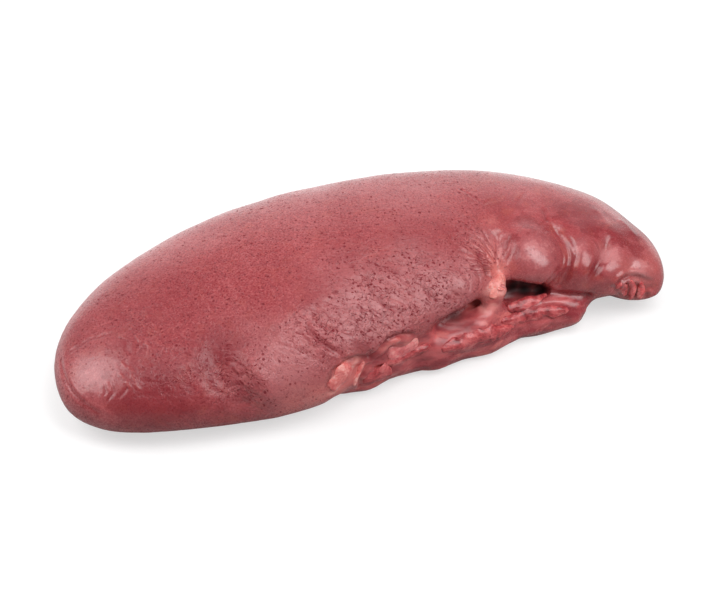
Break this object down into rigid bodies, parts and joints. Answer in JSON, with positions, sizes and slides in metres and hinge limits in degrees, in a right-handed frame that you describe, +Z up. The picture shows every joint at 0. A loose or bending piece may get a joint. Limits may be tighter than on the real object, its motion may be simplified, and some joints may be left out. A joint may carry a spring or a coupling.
{
  "type": "raw beef spleen",
  "caption": "Whole raw beef spleen lying flat: a smooth plump oval with one blunt end, a folded tapered end, and a fatty vessel groove along one long side.",
  "frame": {"origin": "on the table, under the middle of the organ's box", "axes": "+X along the organ from the blunt end to the tapered, folded end; -Y towards the side with the vessel groove; +Z up"},
  "size_m": [0.3404, 0.1468, 0.0605],
  "materials": {
    "flesh": "moist dusky red flesh under a thin shiny membrane, with fine pores and wrinkles"
  },
  "bodies": {
    "root": {"spleen": "flesh"}
  },
  "joints": []
}
